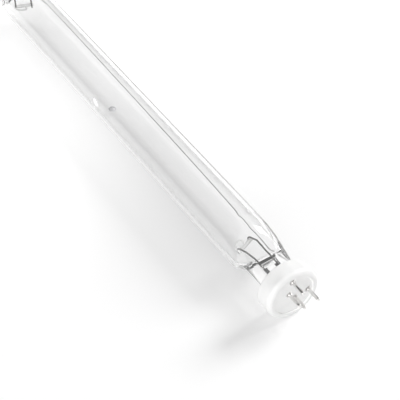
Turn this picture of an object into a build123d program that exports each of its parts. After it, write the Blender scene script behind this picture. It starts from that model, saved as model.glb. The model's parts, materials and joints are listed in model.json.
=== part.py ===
from build123d import *
from math import cos, radians, sin, tan
import os

# A clear quartz germicidal lamp with one four-pin ceramic base, lying level on the rims of its two caps.
# +Y runs from the base to the far end, +Z is up, and the origin is on the floor under the middle of the box.
# Places along the lamp are measured from the base's front rim, so the pins lie at negative values.
# All sizes are in millimetres, all angles in degrees.

# glass
tube_d = 16.0
tube_wall = 1.0
straight_len = 145.0
shoulder_len = 8.7
seal_len = 10.4
seal_w = 12.2
seal_t = 3.7
web_t = 2.2
web_blend = 0.5
rib_run = 2.7
bore_gap = 0.7
bore_rise = 1.6
bore_side = 1.1
fit = 0.03

# how a shoulder eases from the flats to the tube: turning points as shares of the way up and of the way out
sharp_turn = (0.69, 0.66)
sharp_foot = 0.25
slow_turn = (0.42, 0.42)
slow_foot = 0.3
slow_up = 4.1
flat_low = (0.3, 0.17)
flat_high = (0.62, 0.56)
flare_len = 1.1
flare_out = 0.35

# ceramic caps
cap_d = 17.7
cap_t = 6.1
cap_wall = 2.4
cap_front_r = 1.5
cap_back_r = 0.6
recess_d = 13.4
recess_depth = 0.45
recess_r = 0.3
pocket_d = 14.8
cement_lip = 0.2
wiring_room = 2.25

# the caps aren't quite centred on the tube: the base sits left, the far cap right, both a little high
base_left = 0.7
end_right = 1.0
cap_rise = 0.1

# pins, each a thin contact on a thicker body, in a trapezoid whose middle line is turned from +X
pin_d = 1.1
pin_out = 4.9
pin_tail = 0.6
pin_tip_r = 0.25
pin_body_d = 1.5
pin_body_drop = 0.05
pin_body_r = 0.1
pin_bore_depth = 1.3
sink_d = 2.1
sink_depth = 0.9
pattern_turn = 40.8
wide_row = 3.4
wide_gap = 8.2
narrow_row = -0.5
narrow_gap = 2.9

# foils and lead wires in each press seal
foil_w = 1.8
foil_t = 0.06
foil_len = 5.6
foil_start = 3.0
foil_lap = 1.2
lead_d = 0.5
lead_gap = 4.4
lead_straight = 1.7
tail_bend = 0.35
tail_straight = 0.4

# electrodes
coil_d = 1.24
coil_wire_d = 0.32
coil_pitch = 0.5
coil_end = 0.5
hook_gap = 0.08
hook_run = 2.2
coil_left_x = -3.9
coil_left_y = 23.35
coil_right_x = 1.3
coil_right_y = 25.45

# return wires: where each enters the caps, and how the lower one slowly turns round the tube
wire_d = 0.4
wire_bend = 0.5
wire_room = 0.06
wire_land = 5.5
entry_r = 6.4
entry_straight = 1.5
upper_base_angle = 25.0
upper_end_angle = 28.0
upper_angle = 14.0
lower_base_angle = -38.0
lower_end_angle = -32.0
lower_first_angle = -40.0
lower_turns = ((-37.0, 0.017), (-30.6, 0.114), (-25.0, 0.276), (-19.5, 0.538), (-14.0, 0.848))
sleeve_d = 1.0
sleeve_len = 1.6
joint_gap = 0.05

# tip-off nub and mercury drop
nub_y = 104.95
nub_angle = 162.0
nub_len = 4.8
nub_w = 2.4
nub_h = 0.8
nub_taper = 35.0
nub_r = 0.2
drop_y = 107.95
drop_r = 1.5
drop_h = 0.9

# worked-out places
bore_d = tube_d - 2 * tube_wall
seal_start = cap_wall + wiring_room
web_end = seal_start + seal_len
shoulder_end = web_end + shoulder_len
hollow_end = web_end + bore_rise
mid_y = shoulder_end + straight_len / 2
lamp_len = 2 * mid_y
face_y = (pin_out - lamp_len) / 2
tube_x = (base_left - end_right) / 2
base_x = tube_x - base_left
end_x = tube_x + end_right
cap_z = cap_d / 2
tube_z = cap_z - cap_rise
lead_top = hollow_end + lead_straight
lead_z = foil_t / 2 + fit + lead_d / 2
rib_x = seal_w / 2 - seal_t / 2
lead_x = lead_gap / 2


def at(x, y, z=0.0):
    """A place measured from the tube's axis."""
    return Vector(tube_x + x, face_y + y, tube_z + z)


def cap_at(axis_x, x, y, z=0.0):
    """A place measured from a cap's own axis."""
    return Vector(axis_x + x, face_y + y, cap_z + z)


def tube_section(y):
    return Plane(origin=at(0, y), x_dir=(1, 0, 0), z_dir=(0, -1, 0))


def cap_section(axis_x, y):
    return Plane(origin=cap_at(axis_x, 0, y), x_dir=(1, 0, 0), z_dir=(0, -1, 0))


def on_tube(angle, y, r):
    return at(r * cos(radians(angle)), y, r * sin(radians(angle)))


def in_cap(axis_x, angle, y):
    """Where a return wire passes through a cap."""
    return cap_at(axis_x, entry_r * cos(radians(angle)), y, entry_r * sin(radians(angle)))


def far(place):
    """The same place at the other end of the lamp."""
    return Vector(place.X, 2 * (face_y + mid_y) - place.Y, place.Z)


def corner_radii(points, most):
    """The largest round corner that each pair of runs leaves room for, up to the given radius."""
    radii = []
    for before, here, after in zip(points, points[1:], points[2:]):
        run_in, run_out = here - before, after - here
        turn = run_in.get_angle(run_out)
        room = 0.45 * min(run_in.length, run_out.length) / tan(radians(turn / 2))
        radii.append(min(most, room))
    return radii


plan_plane = Plane(origin=at(0, 0))
side_plane = Plane(origin=at(0, 0), x_dir=(0, 1, 0), z_dir=(1, 0, 0))
mid_plane = Plane(origin=at(0, mid_y), x_dir=(1, 0, 0), z_dir=(0, -1, 0))

# Where each pin stands, from the base's own axis: two on the wide row, two on the narrow one
across = Vector(sin(radians(pattern_turn)), -cos(radians(pattern_turn)))
along = Vector(cos(radians(pattern_turn)), sin(radians(pattern_turn)))
pin_places = [
    along * row + across * side * gap / 2
    for row, gap in ((wide_row, wide_gap), (narrow_row, narrow_gap))
    for side in (-1, 1)
]

os.makedirs("parts", exist_ok=True)


# The quartz envelope: a tube, pressed flat at both ends
def pressed_outline(r, half_w, half_t, flats_end, end, slow_y):
    """The plan and side outlines of one pressed end, for its outside or for its hollow."""
    rise = shoulder_end - flats_end
    top = shoulder_end + flare_len

    def turned(half, turn):
        up, out = turn
        return half + out * (r - half), flats_end + up * rise

    sharp_x, sharp_y = turned(half_w, sharp_turn)
    slow_x, slow_mid_y = turned(half_w, slow_turn)
    low_z, low_y = turned(half_t, flat_low)
    high_z, high_y = turned(half_t, flat_high)
    edge = r + flare_out
    with BuildSketch(plan_plane) as plan:
        with BuildLine():
            left = Spline(
                (-edge, top),
                (-sharp_x, sharp_y),
                (-half_w, flats_end + sharp_foot * rise),
                tangents=((0.1, -1), (0, -1)),
            )
            right = Spline(
                (edge, top),
                (slow_x, slow_mid_y),
                (half_w, slow_y),
                tangents=((-0.1, -1), (0, -1)),
            )
            Polyline(left @ 1, (-half_w, end), (half_w, end), right @ 1)
            Polyline(left @ 0, (-edge, mid_y), (edge, mid_y), right @ 0)
        make_face()
    with BuildSketch(side_plane) as side:
        with BuildLine():
            upper = Spline(
                (top, edge),
                (high_y, high_z),
                (low_y, low_z),
                (flats_end, half_t),
                tangents=((-1, -0.3), (-1, 0)),
            )
            lower = mirror(upper, about=Plane.XZ)
            if end < flats_end:
                Polyline(upper @ 1, (end, half_t), (end, -half_t), lower @ 1)
            else:
                Line(upper @ 1, lower @ 1)
            Polyline(upper @ 0, (mid_y, edge), (mid_y, -edge), lower @ 0)
        make_face()
    return plan, side


outer_plan, outer_side = pressed_outline(
    tube_d / 2, seal_w / 2, web_t / 2, web_end, seal_start, seal_start + slow_up)
inner_plan, inner_side = pressed_outline(
    bore_d / 2, seal_w / 2 - bore_side, bore_gap / 2, hollow_end, hollow_end,
    hollow_end + slow_foot * (shoulder_end - hollow_end))

with BuildPart() as half_hollow:
    with BuildSketch(tube_section(mid_y)):
        Circle(bore_d / 2)
    extrude(amount=mid_y - hollow_end)
    extrude(inner_plan.sketch, amount=tube_d, both=True, mode=Mode.INTERSECT)
    extrude(inner_side.sketch, amount=tube_d, both=True, mode=Mode.INTERSECT)

with BuildPart() as half_glass:
    with BuildSketch(tube_section(mid_y)):
        Circle(tube_d / 2)
    extrude(amount=mid_y - seal_start)
    extrude(outer_plan.sketch, amount=tube_d, both=True, mode=Mode.INTERSECT)
    extrude(outer_side.sketch, amount=tube_d, both=True, mode=Mode.INTERSECT)
    # a round rib down each edge of the press seal
    with BuildSketch(tube_section(seal_start)) as ribs:
        Rectangle(2 * rib_x, web_t)
        with Locations((-rib_x, 0), (rib_x, 0)):
            Circle(seal_t / 2)
        fillet(ribs.vertices(), web_blend)
    extrude(amount=-(seal_len + rib_run))
    add(half_hollow.part, mode=Mode.SUBTRACT)
    # the foils lie flat in the web, and the wires lie on them
    for side in (-1, 1):
        with BuildSketch(tube_section(seal_start + foil_start)):
            with Locations((side * lead_x, 0)):
                Rectangle(foil_w + 2 * fit, foil_t + 2 * fit)
        extrude(amount=-foil_len, mode=Mode.SUBTRACT)
        with BuildSketch(tube_section(seal_start)):
            with Locations((side * lead_x, lead_z)):
                Circle(lead_d / 2 + fit)
        extrude(amount=-(foil_start + foil_lap + fit), mode=Mode.SUBTRACT)
        with BuildSketch(tube_section(seal_start + foil_start + foil_len - foil_lap - fit)):
            with Locations((side * lead_x, lead_z)):
                Circle(lead_d / 2 + fit)
        extrude(amount=-(lead_top - seal_start - foil_start - foil_len + foil_lap), mode=Mode.SUBTRACT)

nub_out = on_tube(nub_angle, nub_y, 1.0) - at(0, nub_y)
nub_root = on_tube(nub_angle, nub_y, tube_d / 2 - tube_wall / 2)
nub_plane = Plane(origin=nub_root, x_dir=(0, 1, 0), z_dir=nub_out)
with BuildPart() as quartz_envelope:
    add(half_glass.part)
    mirror(about=mid_plane)
    # the tip-off where the tube was pumped and sealed
    with BuildSketch(nub_plane):
        Ellipse(nub_len / 2, nub_w / 2)
    extrude(amount=nub_h + tube_wall / 2, taper=nub_taper)
    fillet(quartz_envelope.faces().sort_by(Axis(nub_plane.origin, nub_out))[-1].edges(), nub_r)
quartz_envelope.part.label = "quartz_envelope"
export_step(quartz_envelope.part, "parts/quartz_envelope.step")


# The ceramic caps: rounded discs with a round pocket for the press seal and its cement
def plain_cap(axis_x):
    with BuildPart() as cap:
        with BuildSketch(cap_section(axis_x, cap_t)):
            Circle(cap_d / 2)
        extrude(amount=cap_t)
        fillet(cap.edges().group_by(Axis.Y)[0], cap_front_r)
        fillet(cap.edges().group_by(Axis.Y)[-1], cap_back_r)
        with BuildSketch(cap_section(axis_x, 0)):
            Circle(recess_d / 2)
        extrude(amount=-recess_depth, mode=Mode.SUBTRACT)
        fillet(cap.edges().filter_by(lambda e: e.geom_type == GeomType.CIRCLE
                                     and abs(e.radius - recess_d / 2) < 0.01
                                     and e.center().Y < face_y + recess_depth / 2), recess_r)
        with BuildSketch(cap_section(axis_x, cap_t)):
            Circle(pocket_d / 2)
        extrude(amount=cap_t - cap_wall, mode=Mode.SUBTRACT)
    return cap.part


with BuildPart() as base_cap:
    add(plain_cap(base_x))
    for place in pin_places:
        with BuildSketch(cap_section(base_x, 0)):
            with Locations((place.X, place.Y)):
                Circle(pin_body_d / 2 + fit)
        extrude(amount=-cap_wall, mode=Mode.SUBTRACT)
        with BuildSketch(cap_section(base_x, 0)):
            with Locations((place.X, place.Y)):
                Circle(sink_d / 2)
        extrude(amount=-(recess_depth + sink_depth), mode=Mode.SUBTRACT)
base_cap.part.label = "base_cap"
export_step(base_cap.part, "parts/base_cap.step")

with BuildPart() as end_cap:
    add(mirror(plain_cap(end_x), about=mid_plane))
end_cap.part.label = "end_cap"
export_step(end_cap.part, "parts/end_cap.step")

# The pins: a thicker body in the cap, with a blind bore for its wire, and a thin contact that stands out
pin_end = cap_wall + pin_tail
for number, place in enumerate(pin_places, 1):
    with BuildPart() as pin:
        with BuildSketch(cap_section(base_x, pin_end)):
            with Locations((place.X, place.Y)):
                Circle(pin_body_d / 2)
        extrude(amount=pin_end - pin_body_drop)
        fillet(pin.edges().group_by(Axis.Y)[0], pin_body_r)
        with BuildSketch(cap_section(base_x, pin_body_drop)):
            with Locations((place.X, place.Y)):
                Circle(pin_d / 2)
        extrude(amount=pin_body_drop + pin_out)
        fillet(pin.edges().group_by(Axis.Y)[0], pin_tip_r)
        with BuildSketch(cap_section(base_x, pin_end)):
            with Locations((place.X, place.Y)):
                Circle(lead_d / 2 + fit)
        extrude(amount=pin_bore_depth, mode=Mode.SUBTRACT)
    pin.part.label = f"pin_{number}"
    export_step(pin.part, f"parts/pin_{number}.step")

# Foils in the base's press seal and in the far one
for name, side in (("left", -1), ("right", 1)):
    with BuildPart() as foil:
        with BuildSketch(tube_section(seal_start + foil_start + fit)):
            with Locations((side * lead_x, 0)):
                Rectangle(foil_w, foil_t)
        extrude(amount=-(foil_len - 2 * fit))
    foil.part.label = f"base_foil_{name}"
    export_step(foil.part, f"parts/base_foil_{name}.step")
    with BuildPart() as end_foil:
        add(mirror(foil.part, about=mid_plane))
    end_foil.part.label = f"end_foil_{name}"
    export_step(end_foil.part, f"parts/end_foil_{name}.step")

# Lead wires: out of the press seal, then hooked round the coil's end
coil_left = at(coil_left_x, coil_left_y)
coil_right = at(coil_right_x, coil_right_y)
coil_axis = (coil_right - coil_left).normalized()
hook_up = Vector(-coil_axis.Y, coil_axis.X, 0)
hook_r = coil_d / 2 + hook_gap + lead_d / 2
for name, side, centre in (("left", -1, coil_left), ("right", 1, coil_right)):
    hook_side = Vector(0, 0, hook_r)
    start = centre + hook_side
    route = [
        at(side * lead_x, seal_start + foil_start + foil_len - foil_lap, lead_z),
        at(side * lead_x, lead_top, lead_z),
        start - hook_up * hook_run,
        start,
    ]
    with BuildPart() as lead:
        with BuildLine() as path:
            FilletPolyline(*route, radius=corner_radii(route, 2 * lead_d))
            ThreePointArc(start, centre + hook_up * hook_r, centre - hook_side)
        with BuildSketch(Plane(origin=path.line @ 0, z_dir=path.line % 0)):
            Circle(lead_d / 2)
        sweep(path=path.line)
    lead.part.label = f"base_lead_{name}"
    export_step(lead.part, f"parts/base_lead_{name}.step")
    with BuildPart() as end_lead:
        add(mirror(lead.part, about=mid_plane))
    end_lead.part.label = f"end_lead_{name}"
    export_step(end_lead.part, f"parts/end_lead_{name}.step")

# The coated coils between the hooks
coil_start = coil_left - coil_axis * coil_end
coil_len = (coil_right - coil_left).length + 2 * coil_end
with BuildPart() as base_coil:
    with BuildLine() as turns:
        Helix(coil_pitch, coil_len, (coil_d - coil_wire_d) / 2, center=coil_start, direction=coil_axis)
    with BuildSketch(Plane(origin=turns.line @ 0, z_dir=turns.line % 0)):
        Circle(coil_wire_d / 2)
    sweep(path=turns.line, is_frenet=True)
base_coil.part.label = "base_coil"
export_step(base_coil.part, "parts/base_coil.step")
with BuildPart() as end_coil:
    add(mirror(base_coil.part, about=mid_plane))
end_coil.part.label = "end_coil"
export_step(end_coil.part, "parts/end_coil.step")


# Wires outside the glass, each a round wire swept along its route
def round_wire(route, d, bend):
    with BuildPart() as wire:
        with BuildLine() as path:
            FilletPolyline(*route, radius=corner_radii(route, bend))
        with BuildSketch(Plane(origin=path.line @ 0, z_dir=path.line % 0)):
            Circle(d / 2)
        sweep(path=path.line)
    return wire.part


# Outer leads of the base: from the foil to the two pins of the narrow row
tail_start = seal_start + foil_start + foil_lap
pin_bore_end = pin_end - pin_bore_depth + fit
for name, side, place in (("left", -1, pin_places[2]), ("right", 1, pin_places[3])):
    route = [
        at(side * lead_x, tail_start, lead_z),
        at(side * lead_x, seal_start - tail_straight, lead_z),
        cap_at(base_x, place.X, pin_end + tail_straight, place.Y),
        cap_at(base_x, place.X, pin_bore_end, place.Y),
    ]
    with BuildPart() as base_tail:
        add(round_wire(route, lead_d, tail_bend))
    base_tail.part.label = f"base_tail_{name}"
    export_step(base_tail.part, f"parts/base_tail_{name}.step")

# Return wires: from the far seal's outer leads, along the tube, to the two pins of the wide row
lie_r = tube_d / 2 + wire_d / 2 + wire_room
wire_y = (pin_end + seal_start) / 2
entry_out = cap_t + entry_straight
near_land = shoulder_end - wire_land
far_land = lamp_len - near_land
upper_route = [(upper_angle, near_land), (upper_angle, far_land)]
lower_route = [(lower_first_angle, near_land)]
lower_route += [(angle, shoulder_end + share * straight_len) for angle, share in lower_turns]
lower_route += [(lower_turns[-1][0], far_land)]
wires = (
    ("upper", pin_places[0], upper_route, upper_base_angle, upper_end_angle, -1),
    ("lower", pin_places[1], lower_route, lower_base_angle, lower_end_angle, 1),
)
for name, place, turns_round, base_angle, end_angle, side in wires:
    tail_corner = far(at(side * lead_x, wire_y, lead_z))
    far_corner = far(in_cap(end_x, end_angle, wire_y))
    joint_way = (far_corner - tail_corner).normalized()
    joint = (far_corner + tail_corner) * 0.5
    route = [
        cap_at(base_x, place.X, pin_bore_end, place.Y),
        cap_at(base_x, place.X, wire_y, place.Y),
        in_cap(base_x, base_angle, wire_y),
        in_cap(base_x, base_angle, entry_out),
    ]
    route += [on_tube(angle, y, lie_r) for angle, y in turns_round]
    route += [
        far(in_cap(end_x, end_angle, entry_out)),
        far_corner,
        joint + joint_way * joint_gap,
    ]
    with BuildPart() as return_wire:
        add(round_wire(route, wire_d, wire_bend))
    return_wire.part.label = f"return_wire_{name}"
    export_step(return_wire.part, f"parts/return_wire_{name}.step")
    # the far outer lead that this wire is joined to, and the sleeve over the joint
    tail = "left" if side < 0 else "right"
    route = [far(at(side * lead_x, tail_start, lead_z)), tail_corner, joint - joint_way * joint_gap]
    with BuildPart() as end_tail:
        add(round_wire(route, lead_d, wire_bend))
    end_tail.part.label = f"end_tail_{tail}"
    export_step(end_tail.part, f"parts/end_tail_{tail}.step")
    with BuildPart() as sleeve:
        with BuildSketch(Plane(origin=joint, z_dir=joint_way)):
            Circle(sleeve_d / 2)
            Circle(lead_d / 2 + fit, mode=Mode.SUBTRACT)
        extrude(amount=sleeve_len / 2, both=True)
    sleeve.part.label = f"end_sleeve_{name}"
    export_step(sleeve.part, f"parts/end_sleeve_{name}.step")


# The cement that fills each cap's pocket round the press seal and the two wires
def cement_ring(axis_x, wire_angles):
    with BuildPart() as ring:
        with BuildSketch(cap_section(axis_x, cap_t - cement_lip)):
            Circle(pocket_d / 2 - fit)
        extrude(amount=cap_t - cement_lip - seal_start)
        with BuildSketch(tube_section(cap_t)):
            Rectangle(seal_w, web_t)
            with Locations((-rib_x, 0), (rib_x, 0)):
                Circle(seal_t / 2)
            Rectangle(2 * rib_x, web_t + 2 * web_blend)
            offset(amount=fit)
        extrude(amount=cap_t, mode=Mode.SUBTRACT)
        for angle in wire_angles:
            wire_plane = Plane(origin=in_cap(axis_x, angle, cap_t), x_dir=(1, 0, 0), z_dir=(0, -1, 0))
            with BuildSketch(wire_plane):
                Circle(wire_d / 2 + fit)
            extrude(amount=cap_t, mode=Mode.SUBTRACT)
    return ring.part


with BuildPart() as base_cement:
    add(cement_ring(base_x, (upper_base_angle, lower_base_angle)))
base_cement.part.label = "base_cement"
export_step(base_cement.part, "parts/base_cement.step")

with BuildPart() as end_cement:
    add(mirror(cement_ring(end_x, (upper_end_angle, lower_end_angle)), about=mid_plane))
end_cement.part.label = "end_cement"
export_step(end_cement.part, "parts/end_cement.step")

# The mercury drop that lies at the bottom of the bore
with BuildPart() as mercury_drop:
    with BuildSketch(tube_section(drop_y + 2 * drop_r)):
        Circle(bore_d / 2 - fit)
    extrude(amount=4 * drop_r)
    with Locations(at(0, drop_y, drop_h - bore_d / 2 - drop_r)):
        Sphere(drop_r, mode=Mode.INTERSECT)
mercury_drop.part.label = "mercury_drop"
export_step(mercury_drop.part, "parts/mercury_drop.step")
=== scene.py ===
import bpy
import json
from math import cos, radians, sin
from mathutils import Matrix, Vector


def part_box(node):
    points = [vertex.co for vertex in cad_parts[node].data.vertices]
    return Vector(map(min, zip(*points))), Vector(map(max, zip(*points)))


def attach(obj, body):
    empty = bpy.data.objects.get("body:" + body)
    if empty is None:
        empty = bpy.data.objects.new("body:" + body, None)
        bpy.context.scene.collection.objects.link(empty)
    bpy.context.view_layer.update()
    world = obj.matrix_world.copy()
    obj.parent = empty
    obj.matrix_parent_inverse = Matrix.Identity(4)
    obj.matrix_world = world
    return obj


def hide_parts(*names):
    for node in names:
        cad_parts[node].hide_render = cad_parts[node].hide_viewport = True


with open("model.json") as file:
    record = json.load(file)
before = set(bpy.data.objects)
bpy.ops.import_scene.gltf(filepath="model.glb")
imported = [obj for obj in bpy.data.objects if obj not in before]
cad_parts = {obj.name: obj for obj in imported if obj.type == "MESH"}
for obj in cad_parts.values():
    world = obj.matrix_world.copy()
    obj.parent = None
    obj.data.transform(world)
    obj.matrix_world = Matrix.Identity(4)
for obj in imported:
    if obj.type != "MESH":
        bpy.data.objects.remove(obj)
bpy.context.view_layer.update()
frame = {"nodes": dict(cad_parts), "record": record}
nodes = frame["nodes"]
mm = 0.001

baseLow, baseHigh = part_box("base_cap")
endLow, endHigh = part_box("end_cap")
rimY = baseLow.y  # front rim of the base
baseLeft, baseUp = 0.7, 0.1  # mm, how far the base's own axis stands left of the tube's and above it
tubeX = (baseLow.x + baseHigh.x) / 2 + baseLeft * mm
tubeZ = (baseLow.z + baseHigh.z) / 2 - baseUp * mm
tubeAxis = Vector((tubeX, 0, tubeZ))
print("frame loaded:", len(nodes), "nodes")


cameraView = {
    "azimuth": -29.18, "elevation": 45.05, "roll": -4.36,  # degrees
    "lens": 130.9, "sensor": 36.0,
    "aimAside": -2.1, "aimAlong": 48.65, "distance": 448.2,  # mm, from the tube's axis and the base's rim
    "clipStart": 10.0,
}


def placeCamera(view):
    turn = Matrix.Rotation(radians(view["azimuth"]), 4, "Z")
    tilt = Matrix.Rotation(radians(90 - view["elevation"]), 4, "X")
    roll = Matrix.Rotation(radians(view["roll"]), 4, "Z")
    aim = Vector((tubeAxis.x + view["aimAside"] * mm, rimY + view["aimAlong"] * mm, tubeAxis.z))
    look = turn @ tilt @ roll
    bpy.ops.object.camera_add(location=(0, 0, 0))
    cam = bpy.context.object
    cam.name = "photoCamera"
    cam.matrix_world = Matrix.Translation(aim + look.col[2].to_3d() * view["distance"] * mm) @ look
    cam.data.lens = view["lens"]
    cam.data.sensor_width = view["sensor"]
    cam.data.clip_start = view["clipStart"] * mm
    bpy.context.scene.camera = cam


placeCamera(cameraView)
bpy.context.scene.view_settings.view_transform = "Standard"
print("camera placed")


def addNode(tree, kind, x, y, **values):
    node = tree.nodes.new(kind)
    node.location = (x, y)
    for name, value in values.items():
        setattr(node, name, value)
    return node


def link(tree, source, target):
    tree.links.new(source, target)


def newMaterial(name):
    material = bpy.data.materials.new(name)
    material.use_nodes = True
    tree = material.node_tree
    shader = tree.nodes["Principled BSDF"]
    shader.location = (300, 0)
    tree.nodes["Material Output"].location = (700, 0)
    coords = addNode(tree, "ShaderNodeTexCoord", -1100, 0)
    return material, tree, shader, coords.outputs["Object"]


def spread(tree, source, low, high, x, y, start=0.3, end=0.7, kind="LINEAR"):
    node = addNode(tree, "ShaderNodeMapRange", x, y, interpolation_type=kind)
    node.inputs["From Min"].default_value = start
    node.inputs["From Max"].default_value = end
    node.inputs["To Min"].default_value = low
    node.inputs["To Max"].default_value = high
    link(tree, source, node.inputs["Value"])
    return node.outputs["Result"]


def combine(tree, operation, first, second, x, y):
    node = addNode(tree, "ShaderNodeMath", x, y, operation=operation)
    link(tree, first, node.inputs[0])
    link(tree, second, node.inputs[1])
    return node.outputs[0]


studio = {  # metres and watts, with the floor's drop in mm
    "floorSize": 2.4, "floorDrop": 0.02, "floorWhite": 0.76, "floorRough": 0.9,
    # the floor's glow whitens the backdrop, seen directly and through the glass; its rise from beside the
    # base to the far end is painted light that fades the shadow there, and its stronger glow through the
    # glass is painted light over the shadow under the tube
    "glowNear": 0.22, "glowFar": 0.47, "paintedThroughNear": 0.35, "paintedThroughFar": 0.39, "paintedRiseRun": (-0.06, 0.04),
    "keyPlace": (1.26, -0.02, 0.8), "keySize": 0.6, "keyPower": 17.5,
    "fillPlace": (-0.75, -0.5, 0.45), "fillSize": 0.9, "fillPower": 7.7, "lampAim": (0, -0.05, 0),
    "worldFill": 0.34, "skyHorizon": 0.32, "skyTop": 0.75, "skyRise": (0.0, 0.8),
    "rightDim": 0.25, "rightRun": (0.1, 0.9),
    "flagWay": (-0.345, 0.617, 0.708), "flagDim": 0.9, "flagEdge": (0.82, 0.94),
}


def buildFloor(setup):
    bpy.ops.object.select_all(action="DESELECT")
    bpy.ops.mesh.primitive_plane_add(size=setup["floorSize"], location=(0, 0, -setup["floorDrop"] * mm))
    floor = bpy.context.object
    floor.name = "paleFloor"
    material, tree, shader, coords = newMaterial("paleFloor")
    shader.inputs["Base Color"].default_value = (setup["floorWhite"],) * 3 + (1,)
    shader.inputs["Roughness"].default_value = setup["floorRough"]
    shader.inputs["Specular IOR Level"].default_value = 0.0
    path = addNode(tree, "ShaderNodeLightPath", -500, -300).outputs
    split = addNode(tree, "ShaderNodeSeparateXYZ", -900, -500)
    link(tree, coords, split.inputs[0])
    # the glow rises from beside the base to the far end: painted light that fades the key's shadow there
    rise = spread(tree, split.outputs["Y"], setup["glowNear"], setup["glowFar"], -600, -500,
                  *setup["paintedRiseRun"], kind="SMOOTHSTEP")
    # seen through the glass the floor glows more: painted light over the shadow under the tube
    paintedThroughGlow = spread(tree, rise, setup["paintedThroughNear"], setup["paintedThroughFar"], -350, -700,
                         setup["glowNear"], setup["glowFar"])
    seen = combine(tree, "MAXIMUM", path["Is Camera Ray"], path["Is Glossy Ray"], -250, -300)
    glow = combine(tree, "MULTIPLY", seen, rise, -50, -300)
    paintedGlowSeenThrough = combine(tree, "MULTIPLY", path["Is Transmission Ray"], paintedThroughGlow, -50, -600)
    shader.inputs["Emission Color"].default_value = (1, 1, 1, 1)
    link(tree, combine(tree, "MAXIMUM", glow, paintedGlowSeenThrough, 130, -300), shader.inputs["Emission Strength"])
    floor.data.materials.append(material)


def addSoftbox(which, setup, castsShadow):
    place = setup[f"{which}Place"]
    bpy.ops.object.light_add(type="AREA", location=place)
    lamp = bpy.context.object
    lamp.name = f"{which}Softbox"
    lamp.data.shape = "SQUARE"
    lamp.data.size = setup[f"{which}Size"]
    lamp.data.energy = setup[f"{which}Power"]
    lamp.data.use_shadow = castsShadow
    lamp.visible_transmission = False
    toward = Vector(setup["lampAim"]) - Vector(place)
    lamp.rotation_euler = toward.to_track_quat("-Z", "Y").to_euler()


def buildWorld(setup):
    world = bpy.data.worlds.new("studioWorld")
    bpy.context.scene.world = world
    world.use_nodes = True
    tree = world.node_tree
    background = tree.nodes["Background"]
    way = addNode(tree, "ShaderNodeTexCoord", -900, 0).outputs["Generated"]
    split = addNode(tree, "ShaderNodeSeparateXYZ", -700, 0)
    link(tree, way, split.inputs[0])
    sky = spread(tree, split.outputs["Z"], setup["skyHorizon"], setup["skyTop"], -500, 0, *setup["skyRise"])
    # the studio is darker on the right
    aside = spread(tree, split.outputs["X"], 1, 1 - setup["rightDim"], -500, 260, *setup["rightRun"])
    sided = combine(tree, "MULTIPLY", sky, aside, -300, 260)
    # a dark flag over the far end, which draws the dark core on round metal
    toFlag = addNode(tree, "ShaderNodeVectorMath", -700, 480, operation="DOT_PRODUCT")
    toFlag.inputs[1].default_value = Vector(setup["flagWay"]).normalized()
    link(tree, way, toFlag.inputs[0])
    flag = spread(tree, toFlag.outputs["Value"], 1, 1 - setup["flagDim"], -500, 480,
                  *setup["flagEdge"], kind="SMOOTHSTEP")
    flagged = combine(tree, "MULTIPLY", sided, flag, -150, 360)
    path = addNode(tree, "ShaderNodeLightPath", -900, -300).outputs
    mirrored = combine(tree, "MAXIMUM", path["Is Glossy Ray"], path["Is Transmission Ray"], -700, -300)
    fill = addNode(tree, "ShaderNodeMix", -300, 0)
    fill.inputs["A"].default_value = setup["worldFill"]
    link(tree, mirrored, fill.inputs["Factor"])
    link(tree, flagged, fill.inputs["B"])
    white = addNode(tree, "ShaderNodeMix", -100, 0)
    white.inputs["B"].default_value = 1.0
    link(tree, path["Is Camera Ray"], white.inputs["Factor"])
    link(tree, fill.outputs["Result"], white.inputs["A"])
    background.inputs["Color"].default_value = (1, 1, 1, 1)
    link(tree, white.outputs["Result"], background.inputs["Strength"])


buildFloor(studio)
addSoftbox("key", studio, True)
addSoftbox("fill", studio, False)
buildWorld(studio)
print("floor, lamps and world ready")


noiseDetail = {"Grain": (4, 0.65), "Cloud": (2, 0.5), "Lines": (3, 0.5)}  # each noise's detail and roughness


def newGroup(name, wants, gives):
    group = bpy.data.node_groups.new(name, "ShaderNodeTree")
    for socket, kind in wants:
        group.interface.new_socket(name=socket, in_out="INPUT", socket_type=f"NodeSocket{kind}")
    for socket in gives:
        group.interface.new_socket(name=socket, in_out="OUTPUT", socket_type="NodeSocketFloat")
    inside = addNode(group, "NodeGroupInput", -600, 0)
    outside = addNode(group, "NodeGroupOutput", 300, 0)
    return group, inside.outputs, outside.inputs


def addNoise(tree, coords, scale, detail, x, y):
    noise = addNode(tree, "ShaderNodeTexNoise", x, y)
    noise.inputs["Detail"].default_value, noise.inputs["Roughness"].default_value = detail
    link(tree, coords, noise.inputs["Vector"])
    link(tree, scale, noise.inputs["Scale"])
    return noise.outputs["Fac"]


def buildGrainGroup(detail):
    wants = (("Vector", "Vector"), ("Grain Scale", "Float"), ("Cloud Scale", "Float"))
    group, given, result = newGroup("fineGrain", wants, ("Grain", "Cloud"))
    for name, y in (("Grain", 120), ("Cloud", -160)):
        noise = addNoise(group, given["Vector"], given[f"{name} Scale"], detail[name], -200, y)
        link(group, noise, result[name])
    return group


def buildDrawnGroup(detail):
    wants = (("Vector", "Vector"), ("Stretch", "Vector"), ("Scale", "Float"))
    group, given, result = newGroup("drawnLines", wants, ("Lines",))
    pull = addNode(group, "ShaderNodeVectorMath", -380, 0, operation="MULTIPLY")
    link(group, given["Vector"], pull.inputs[0])
    link(group, given["Stretch"], pull.inputs[1])
    noise = addNoise(group, pull.outputs[0], given["Scale"], detail["Lines"], -160, 0)
    link(group, noise, result["Lines"])
    return group


grainGroup = buildGrainGroup(noiseDetail)
drawnGroup = buildDrawnGroup(noiseDetail)


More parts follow.
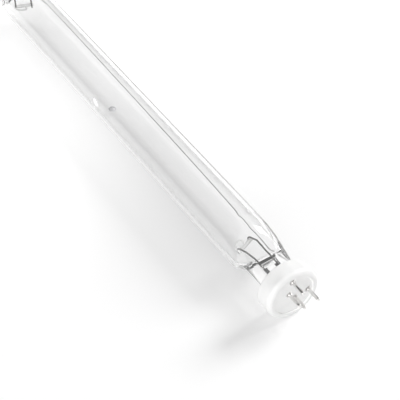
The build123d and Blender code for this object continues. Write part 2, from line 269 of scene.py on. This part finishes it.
def useGroup(tree, group, coords, x, y, **values):
    node = addNode(tree, "ShaderNodeGroup", x, y)
    node.node_tree = group
    link(tree, coords, node.inputs["Vector"])
    for name, value in values.items():
        node.inputs[name.replace("_", " ")].default_value = value
    return node.outputs


def tint(tree, source, dark, light, x, y):
    node = addNode(tree, "ShaderNodeMix", x, y, data_type="RGBA")
    node.inputs["A"].default_value = (*dark, 1)
    node.inputs["B"].default_value = (*light, 1)
    link(tree, source, node.inputs["Factor"])
    return node.outputs["Result"]


def bump(tree, height, strength, depth, x, y, before=None):
    node = addNode(tree, "ShaderNodeBump", x, y)
    node.inputs["Strength"].default_value = strength
    node.inputs["Distance"].default_value = depth * mm
    link(tree, height, node.inputs["Height"])
    if before:
        link(tree, before, node.inputs["Normal"])
    return node.outputs["Normal"]


# edgeShade tints the glass darker where it is seen at a slant: painted shade for the tube's dark edges
quartzLook = {
    "middleTint": (0.99, 0.99, 0.99), "edgeShade": (0.93, 0.93, 0.93), "edgeShadeRun": (0.15, 0.55),
    "ior": 1.458, "roughLow": 0.0, "roughHigh": 0.02,
    "streakScale": 900.0, "streakStretch": (1, 0.015, 1), "streakStrength": 0.05, "streakDepth": 0.02,
    "shadowMiddle": 0.82, "shadowEdge": 0.5, "shadowRun": (0.4, 1.0), "mostTurns": 3.5,
}
# the bore's grey tint is painted shade: it dims all that is seen through the bore
boreShadeLook = {**quartzLook, "middleTint": (0.91, 0.91, 0.91), "edgeShade": (0.92, 0.92, 0.92)}


def makeQuartz(name, look):
    material, tree, shader, coords = newMaterial(name)
    slant = addNode(tree, "ShaderNodeLayerWeight", -600, 250)
    slant.inputs["Blend"].default_value = 0.5
    facing = slant.outputs["Facing"]
    # painted shade: the tint darkens toward the glass's grazing edges
    edge = spread(tree, facing, 0, 1, -300, 250, *look["edgeShadeRun"])
    link(tree, tint(tree, edge, look["middleTint"], look["edgeShade"], 0, 250), shader.inputs["Base Color"])
    shader.inputs["Transmission Weight"].default_value = 1.0
    shader.inputs["IOR"].default_value = look["ior"]
    streaks = useGroup(tree, drawnGroup, coords, -800, -100, Stretch=look["streakStretch"],
                       Scale=look["streakScale"])["Lines"]
    link(tree, bump(tree, streaks, look["streakStrength"], look["streakDepth"], 0, -300),
         shader.inputs["Normal"])
    link(tree, spread(tree, streaks, look["roughLow"], look["roughHigh"], -300, 0),
         shader.inputs["Roughness"])
    # light for what lies behind passes straight through, and so does a ray caught in a fold
    path = addNode(tree, "ShaderNodeLightPath", 100, 350).outputs
    lit = combine(tree, "MAXIMUM", path["Is Shadow Ray"], path["Is Diffuse Ray"], 300, 350)
    caught = addNode(tree, "ShaderNodeMath", 300, 550, operation="GREATER_THAN")
    caught.inputs[1].default_value = look["mostTurns"]
    link(tree, path["Ray Depth"], caught.inputs[0])
    through = combine(tree, "MAXIMUM", lit, caught.outputs[0], 450, 450)
    clear = addNode(tree, "ShaderNodeBsdfTransparent", 300, -500)
    dim = spread(tree, facing, 0, 1, -300, -500, *look["shadowRun"])
    link(tree, tint(tree, dim, (look["shadowMiddle"],) * 3, (look["shadowEdge"],) * 3, 0, -500),
         clear.inputs["Color"])
    choose = addNode(tree, "ShaderNodeMixShader", 550, 0)
    link(tree, through, choose.inputs["Fac"])
    link(tree, shader.outputs[0], choose.inputs[1])
    link(tree, clear.outputs[0], choose.inputs[2])
    link(tree, choose.outputs[0], tree.nodes["Material Output"].inputs["Surface"])
    return material


quartzGlass = makeQuartz("clearQuartz", quartzLook)
boreShadeGlass = makeQuartz("quartzBorePaintedShade", boreShadeLook)


ceramicLook = {
    "dark": (0.87, 0.87, 0.865), "light": (0.92, 0.92, 0.915), "colourBy": "Cloud",
    "roughLow": 0.34, "roughHigh": 0.5, "roughBy": "Cloud",
    "grainScale": 6000.0, "cloudScale": 260.0, "bumps": (("Grain", 0.12, 0.03),),
}
cementLook = {
    "dark": (0.62, 0.61, 0.59), "light": (0.82, 0.81, 0.79), "colourBy": "Grain",
    "roughLow": 0.8, "roughHigh": 0.97, "roughBy": "Cloud",
    "grainScale": 3500.0, "cloudScale": 700.0, "bumps": (("Grain", 0.6, 0.1),),
}
coatLook = {
    "dark": (0.93, 0.93, 0.925), "light": (0.99, 0.99, 0.985), "colourBy": "Cloud",
    "roughLow": 0.85, "roughHigh": 1.0, "roughBy": "Grain",
    "grainScale": 7000.0, "cloudScale": 2200.0, "bumps": (("Cloud", 0.6, 0.1), ("Grain", 0.5, 0.05)),
}


def makePowdery(name, look):
    material, tree, shader, coords = newMaterial(name)
    grain = useGroup(tree, grainGroup, coords, -800, 0, Grain_Scale=look["grainScale"],
                     Cloud_Scale=look["cloudScale"])
    colour = spread(tree, grain[look["colourBy"]], 0, 1, -500, 200)
    link(tree, tint(tree, colour, look["dark"], look["light"], -200, 200), shader.inputs["Base Color"])
    link(tree, spread(tree, grain[look["roughBy"]], look["roughLow"], look["roughHigh"], -300, -50),
         shader.inputs["Roughness"])
    normal = None
    for place, (source, strength, depth) in enumerate(look["bumps"]):
        normal = bump(tree, grain[source], strength, depth, -200 + 200 * place, -300, normal)
    link(tree, normal, shader.inputs["Normal"])
    return material


metalGrain = {"grainScale": 4000.0, "cloudScale": 500.0, "lineDepth": 0.02}
pinLook = {
    **metalGrain, "dark": (0.72, 0.71, 0.70), "light": (0.84, 0.83, 0.82),
    "roughLow": 0.07, "roughHigh": 0.16,
    "lineScale": 9000.0, "lineStretch": (0.05, 1, 0.05), "lineStrength": 0.25,
}
# the lead's near-black tone is painted shade for the black streaks in the seal
leadLook = {
    **metalGrain, "dark": (0.22, 0.22, 0.22), "light": (0.42, 0.418, 0.415),
    "roughLow": 0.14, "roughHigh": 0.3, "lineScale": 5000.0, "lineStretch": (1, 0.08, 1), "lineStrength": 0.3,
}
returnLook = {
    **metalGrain, "dark": (0.72, 0.715, 0.71), "light": (0.87, 0.865, 0.86),
    "roughLow": 0.3, "roughHigh": 0.5, "lineScale": 5000.0, "lineStretch": (1, 0.05, 1), "lineStrength": 0.25,
}
# the foil's near-black tone is painted shade for the black streaks in the seal
foilLook = {
    **metalGrain, "dark": (0.16, 0.16, 0.162), "light": (0.36, 0.36, 0.365),
    "roughLow": 0.2, "roughHigh": 0.4, "lineScale": 2500.0, "lineStretch": (1, 0.15, 1), "lineStrength": 0.4,
}
mercuryLook = {
    **metalGrain, "dark": (0.64, 0.64, 0.65), "light": (0.76, 0.76, 0.77),
    "roughLow": 0.8, "roughHigh": 0.95, "lineScale": 1500.0, "lineStretch": (1, 1, 1), "lineStrength": 0.3,
}


def makeMetal(name, look):
    material, tree, shader, coords = newMaterial(name)
    shader.inputs["Metallic"].default_value = 1.0
    lines = useGroup(tree, drawnGroup, coords, -800, 100, Stretch=look["lineStretch"],
                     Scale=look["lineScale"])["Lines"]
    cloud = useGroup(tree, grainGroup, coords, -800, -200, Grain_Scale=look["grainScale"],
                     Cloud_Scale=look["cloudScale"])["Cloud"]
    colour = spread(tree, cloud, 0, 1, -500, 200)
    link(tree, tint(tree, colour, look["dark"], look["light"], -200, 200), shader.inputs["Base Color"])
    link(tree, spread(tree, lines, look["roughLow"], look["roughHigh"], -300, -50),
         shader.inputs["Roughness"])
    link(tree, bump(tree, lines, look["lineStrength"], look["lineDepth"], 0, -300), shader.inputs["Normal"])
    return material


# Every size below is in mm, and y counts from the base's front rim. A shoulder's rows say how far up
# a section stands, and how far its left side, right side and top stand out, as shares of the way
# from the flats to the tube
glassSizes = {
    "radius": 8.0, "wall": 1.0, "sealStart": 4.65, "webEnd": 15.05, "shoulderEnd": 23.75, "middle": 96.25,
    "sealHalf": 6.1, "webHalf": 1.1, "ribRadius": 1.85, "ribRun": 2.7, "ribBlend": 0.5, "ribSides": 64,
    "blendSteps": 4, "cornerReach": 0.12, "faceReach": 0.05, "longShare": 0.9,
    "hollowEnd": 16.65, "hollowHalf": 0.35, "hollowWide": 5.0,
    "sides": 96, "between": 4, "smoothAngle": 35,
    "shoulderRows": (
        (1.95, 1.0, 1.0, 1.0), (1.78, 1.0, 1.0, 1.0), (1.55, 1.0, 0.97, 0.98), (1.32, 1.01, 0.87, 0.95),
        (1.03, 1.05, 0.79, 0.88), (0.8, 1.05, 0.76, 0.75), (0.57, 1.0, 0.71, 0.55), (0.34, 0.55, 0.6, 0.29),
        (0.17, 0.08, 0.47, 0.14),
    ),
    "webRows": ((0.0, -0.05, 0.37, 0.07), (-0.28, -0.1, 0.16, 0.01), (-0.64, -0.1, -0.1, -0.02)),
    "hollowRow": (0.0, 0.0, 0.25, 0.0),
    "nubY": 104.95, "nubAngle": 162.0, "nubCentre": 7.0, "nubOut": 1.4, "nubLong": 3.4, "nubWide": 1.75,
    "nubSides": 48, "nubRows": 24, "tipRings": 15, "tipStep": 0.6,
}


def spot(x, y, z=0.0):
    return Vector((tubeAxis.x + x * mm, rimY + y * mm, tubeAxis.z + z * mm))


def eased(a, b, c, d, t):  # a smooth way from b to c, with a and d as the places before and after
    return b + 0.5 * t * (c - a + t * (2 * a - 5 * b + 4 * c - d + t * (3 * (b - c) + d - a)))


def sections(sizes, radius, wide, high, flatsEnd, rows):
    ends = [rows[0], *rows, rows[-1]]
    smooth = []
    for k in range(len(rows) - 1):
        for step in range(sizes["between"]):
            smooth.append([eased(*four, step / sizes["between"]) for four in zip(*ends[k:k + 4])])
    smooth.append(rows[-1])
    near = []
    for up, left, right, top in reversed(smooth):
        y = flatsEnd + up * (sizes["shoulderEnd"] - flatsEnd)
        leftX = wide + left * (radius - wide)
        rightX = wide + right * (radius - wide)
        near.append((y, (rightX - leftX) / 2, (leftX + rightX) / 2, high + top * (radius - high)))
    # short rings at the tip-off keep its shading beside it
    half = sizes["tipRings"] // 2
    steps = [sizes["nubY"] + (k - half) * sizes["tipStep"] for k in range(sizes["tipRings"])]
    tip = [(y, 0, radius, radius) for y in steps]
    far = [(2 * sizes["middle"] - y, *rest) for y, *rest in reversed(near)]
    return near + tip + far


def loftOvals(name, ovals, sides):
    bpy.ops.object.select_all(action="DESELECT")
    y, x, wide, high = ovals[0]
    bpy.ops.mesh.primitive_circle_add(vertices=sides, radius=1, fill_type="NGON", location=spot(x, y),
                                      rotation=(radians(90), 0, 0))
    piece = bpy.context.object
    piece.name = name
    bpy.ops.object.mode_set(mode="EDIT")
    bpy.ops.mesh.select_all(action="SELECT")
    bpy.ops.transform.resize(value=(wide * mm, 1, high * mm), center_override=spot(x, y))
    for (y, x, wide, high), (nextY, nextX, nextWide, nextHigh) in zip(ovals, ovals[1:]):
        bpy.ops.mesh.extrude_region_move(
            TRANSFORM_OT_translate={"value": ((nextX - x) * mm, (nextY - y) * mm, 0)})
        bpy.ops.transform.resize(value=(nextWide / wide, 1, nextHigh / high),
                                 center_override=spot(nextX, nextY))
    bpy.ops.mesh.select_all(action="SELECT")
    bpy.ops.mesh.normals_make_consistent(inside=False)
    bpy.ops.object.mode_set(mode="OBJECT")
    bpy.ops.object.transform_apply(location=True, rotation=True, scale=True)
    return piece


def boolean(piece, tool, how):
    bpy.ops.object.select_all(action="DESELECT")
    bpy.context.view_layer.objects.active = piece
    piece.select_set(True)
    step = piece.modifiers.new(how.lower(), "BOOLEAN")
    step.operation = how
    step.solver = "EXACT"
    step.object = tool
    bpy.ops.object.modifier_apply(modifier=step.name)
    bpy.data.objects.remove(tool)


def pressedSeal(sizes, low, high):
    middle, run = (low + high) / 2, high - low
    ribX = sizes["sealHalf"] - sizes["ribRadius"]
    bpy.ops.object.select_all(action="DESELECT")
    bpy.ops.mesh.primitive_cube_add(size=1, location=spot(0, middle),
                                    scale=(2 * ribX * mm, run * mm, 2 * sizes["webHalf"] * mm))
    seal = bpy.context.object
    bpy.ops.object.transform_apply(location=True, rotation=True, scale=True)
    for side in (-1, 1):
        bpy.ops.object.select_all(action="DESELECT")
        bpy.ops.mesh.primitive_cylinder_add(
            vertices=sizes["ribSides"], radius=sizes["ribRadius"] * mm, depth=run * mm,
            location=spot(side * ribX, middle), rotation=(radians(90), 0, 0))
        rib = bpy.context.object
        bpy.ops.object.transform_apply(location=True, rotation=True, scale=True)
        boolean(seal, rib, "UNION")
    # the corners where a rib meets the web are soft
    cornerX = ribX - (sizes["ribRadius"] ** 2 - sizes["webHalf"] ** 2) ** 0.5
    bpy.ops.object.mode_set(mode="EDIT")
    bpy.ops.mesh.select_all(action="DESELECT")
    bpy.ops.object.mode_set(mode="OBJECT")
    for edge in seal.data.edges:
        ends = [seal.data.vertices[k].co - spot(0, 0) for k in edge.vertices]
        edge.select = abs(ends[0].y - ends[1].y) > sizes["longShare"] * run * mm and all(
            abs(abs(end.x) - cornerX * mm) < sizes["cornerReach"] * mm
            and abs(abs(end.z) - sizes["webHalf"] * mm) < sizes["faceReach"] * mm for end in ends)
    bpy.ops.object.mode_set(mode="EDIT")
    bpy.ops.mesh.bevel(offset=sizes["ribBlend"] * mm, segments=sizes["blendSteps"])
    bpy.ops.object.mode_set(mode="OBJECT")
    return seal


def tipOff(sizes):  # the tip-off is a low oval mound
    angle = radians(sizes["nubAngle"])
    bpy.ops.object.select_all(action="DESELECT")
    bpy.ops.mesh.primitive_uv_sphere_add(
        segments=sizes["nubSides"], ring_count=sizes["nubRows"], radius=1, rotation=(0, -angle, 0),
        location=spot(sizes["nubCentre"] * cos(angle), sizes["nubY"], sizes["nubCentre"] * sin(angle)),
        scale=(sizes["nubOut"] * mm, sizes["nubLong"] * mm, sizes["nubWide"] * mm))
    nub = bpy.context.object
    bpy.ops.object.transform_apply(location=True, rotation=True, scale=True)
    return nub


def buildEnvelope(sizes):
    rows = sizes["shoulderRows"]
    outside = sections(sizes, sizes["radius"], sizes["sealHalf"], sizes["webHalf"], sizes["webEnd"],
                       rows + sizes["webRows"])
    inside = sections(sizes, sizes["radius"] - sizes["wall"], sizes["hollowWide"], sizes["hollowHalf"],
                      sizes["hollowEnd"], rows + (sizes["hollowRow"],))
    glass = loftOvals("smoothEnvelope", outside, sizes["sides"])
    hollow = loftOvals("bore", inside, sizes["sides"])
    bpy.ops.object.mode_set(mode="EDIT")
    bpy.ops.mesh.select_all(action="SELECT")
    bpy.ops.mesh.flip_normals()
    bpy.ops.object.mode_set(mode="OBJECT")
    glass.data.materials.append(quartzGlass)
    hollow.data.materials.append(boreShadeGlass)
    start, end = sizes["sealStart"], sizes["webEnd"] + sizes["ribRun"]
    boolean(glass, pressedSeal(sizes, start, end), "UNION")
    boolean(glass, pressedSeal(sizes, 2 * sizes["middle"] - end, 2 * sizes["middle"] - start), "UNION")
    boolean(glass, tipOff(sizes), "UNION")
    bpy.ops.object.select_all(action="DESELECT")
    hollow.select_set(True)
    glass.select_set(True)
    bpy.context.view_layer.objects.active = glass
    bpy.ops.object.join()
    bpy.ops.object.shade_smooth_by_angle(angle=radians(sizes["smoothAngle"]))
    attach(glass, "root")
    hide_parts("quartz_envelope")
    return glass


bpy.context.tool_settings.mesh_select_mode = (False, True, False)  # edges
smoothEnvelope = buildEnvelope(glassSizes)
print("envelope modelled:", len(smoothEnvelope.data.polygons), "faces")


# the wires' ways in mm; each place of a run is y, the angle turned up from +X, and the distance from
# the tube's axis
wireSizes = {
    "thick": 0.4, "rings": 8, "entry": 5.8, "pinEnd": 1.73, "inCap": 3.825, "outOfCap": 7.6,
    "tailX": 2.2, "tailZ": 0.31,
}
wireWays = {
    "upper": {
        "pin": "pin_1", "side": -1, "baseAngle": 25.0, "endAngle": 28.0,
        "nearRun": ((17.9, 19.0, 7.1), (23.7, 15.4, 7.93), (30.5, 14.0, 8.26)), "farRun": (),
    },
    "lower": {
        "pin": "pin_2", "side": 1, "baseAngle": -38.0, "endAngle": -32.0,
        "nearRun": ((24.3, -37.3, 8.05), (28.0, -36.0, 8.26), (40.3, -30.6, 8.26), (63.8, -25.0, 8.26),
                    (101.8, -19.5, 8.26), (146.7, -14.0, 8.26)),
        "farRun": ((164.5, -14.0, 8.26), (168.2, -14.5, 8.05)),
    },
}
rodSizes = {"order": 3, "roundness": 3, "smoothAngle": 50}


def roundTube(angle, r):
    return r * cos(radians(angle)), r * sin(radians(angle))


def alongTube(run):
    places = []
    for y, angle, r in run:
        x, z = roundTube(angle, r)
        places.append((x, y, z))
    return places


def fromAxis(low, high):
    return ((low.x + high.x) / 2 - tubeAxis.x) / mm, ((low.z + high.z) / 2 - tubeAxis.z) / mm


def softRod(name, points, thick, rings, sizes):
    bpy.ops.object.select_all(action="DESELECT")
    bpy.ops.curve.primitive_nurbs_path_add(location=(0, 0, 0))
    rod = bpy.context.object
    rod.name = name
    rod.data.splines.clear()
    line = rod.data.splines.new("NURBS")
    line.points.add(len(points) - 1)
    for point, (x, y, z) in zip(line.points, points):
        point.co = (*spot(x, y, z), 1)
    line.order_u = sizes["order"]
    line.use_endpoint_u = True
    rod.data.resolution_u = rings
    rod.data.bevel_depth = thick / 2 * mm
    rod.data.bevel_resolution = sizes["roundness"]
    rod.data.use_fill_caps = True
    bpy.ops.object.convert(target="MESH")
    rod = bpy.context.object
    bpy.ops.object.shade_smooth_by_angle(angle=radians(sizes["smoothAngle"]))
    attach(rod, "root")
    return rod


def buildReturnWire(which, way, sizes):
    length = 2 * glassSizes["middle"]
    farCapY, farMouthY = length - sizes["inCap"], length - sizes["outOfCap"]
    pinX, pinZ = fromAxis(*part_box(way["pin"]))
    nearX, nearZ = roundTube(way["baseAngle"], sizes["entry"])
    nearX, nearZ = nearX - baseLeft, nearZ + baseUp
    capX, capZ = fromAxis(endLow, endHigh)
    farX, farZ = roundTube(way["endAngle"], sizes["entry"])
    farX, farZ = farX + capX, farZ + capZ
    nearRun = alongTube(way["nearRun"])
    farRun = alongTube(way["farRun"]) or [(x, length - y, z) for x, y, z in reversed(nearRun)]
    toTail = ((farX + way["side"] * sizes["tailX"]) / 2, farCapY, (farZ + sizes["tailZ"]) / 2)
    points = [(pinX, sizes["pinEnd"], pinZ), (pinX, sizes["inCap"], pinZ), (nearX, sizes["inCap"], nearZ),
              (nearX, sizes["outOfCap"], nearZ), *nearRun, *farRun,
              (farX, farMouthY, farZ), (farX, farCapY, farZ), toTail]
    wire = softRod(f"{which}ReturnWire", points, sizes["thick"], sizes["rings"], rodSizes)
    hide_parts(f"return_wire_{which}")
    return wire


returnWires = [buildReturnWire(which, way, wireSizes) for which, way in wireWays.items()]
print("return wires modelled")


# the coil's powder coat is one lumpy rod round the coil, with a loose coated loop beside it
coatSizes = {
    "rod": ((-4.0, 23.3, 0.0), (-2.3, 24.0, 0.03), (-0.4, 24.8, -0.03), (1.4, 25.5, 0.0)), "rodThick": 1.22,
    "loop": ((-3.7, 23.4, 0.2), (-4.55, 24.3, 0.25), (-4.35, 25.5, 0.3), (-3.5, 26.4, 0.3),
             (-2.3, 27.05, 0.3), (-1.3, 27.0, 0.25), (-1.2, 25.9, 0.2), (-1.3, 25.2, 0.1)), "loopThick": 0.62,
    "rings": 24, "lump": 0.32, "lumpScale": 0.9,
}


def buildCoat(name, points, thick, sizes, far):
    ends = [(x, 2 * glassSizes["middle"] - y, z) for x, y, z in points] if far else points
    coat = softRod(name, ends, thick, sizes["rings"], rodSizes)
    lumps = bpy.data.textures.new(name, "CLOUDS")
    lumps.noise_scale = sizes["lumpScale"] * mm
    swell = coat.modifiers.new("lumps", "DISPLACE")
    swell.texture = lumps
    swell.texture_coords = "LOCAL"
    swell.strength = sizes["lump"] * mm
    bpy.ops.object.modifier_apply(modifier=swell.name)
    return coat


coats = []
for end, far in (("base", False), ("end", True)):
    coats.append(buildCoat(f"{end}CoilCoat", coatSizes["rod"], coatSizes["rodThick"], coatSizes, far))
    coats.append(buildCoat(f"{end}CoatLoop", coatSizes["loop"], coatSizes["loopThick"], coatSizes, far))
print("coil coats modelled")


finishes = {
    "quartz": quartzGlass,
    "ceramic": makePowdery("whiteCeramic", ceramicLook),
    "cement": makePowdery("capCement", cementLook),
    "pin_metal": makeMetal("nickelPin", pinLook),
    "emitter_coat": makePowdery("emitterCoat", coatLook),
    "lead_wire": makeMetal("leadInPaintedShade", leadLook),
    "foil": makeMetal("rolledFoilInPaintedShade", foilLook),
    "return_wire": makeMetal("returnWire", returnLook),
    "mercury": makeMetal("mercuryDrop", mercuryLook),
}
for part in frame["record"]["subparts"]:
    for materialSlot in nodes[part["node"]].material_slots:
        materialSlot.material = finishes[part["material_slot"]]
dressed = [(wire, "return_wire") for wire in returnWires] + [(coat, "emitter_coat") for coat in coats]
for piece, slot in dressed:
    piece.data.materials.clear()
    piece.data.materials.append(finishes[slot])
print("finishes on", len(nodes), "nodes")
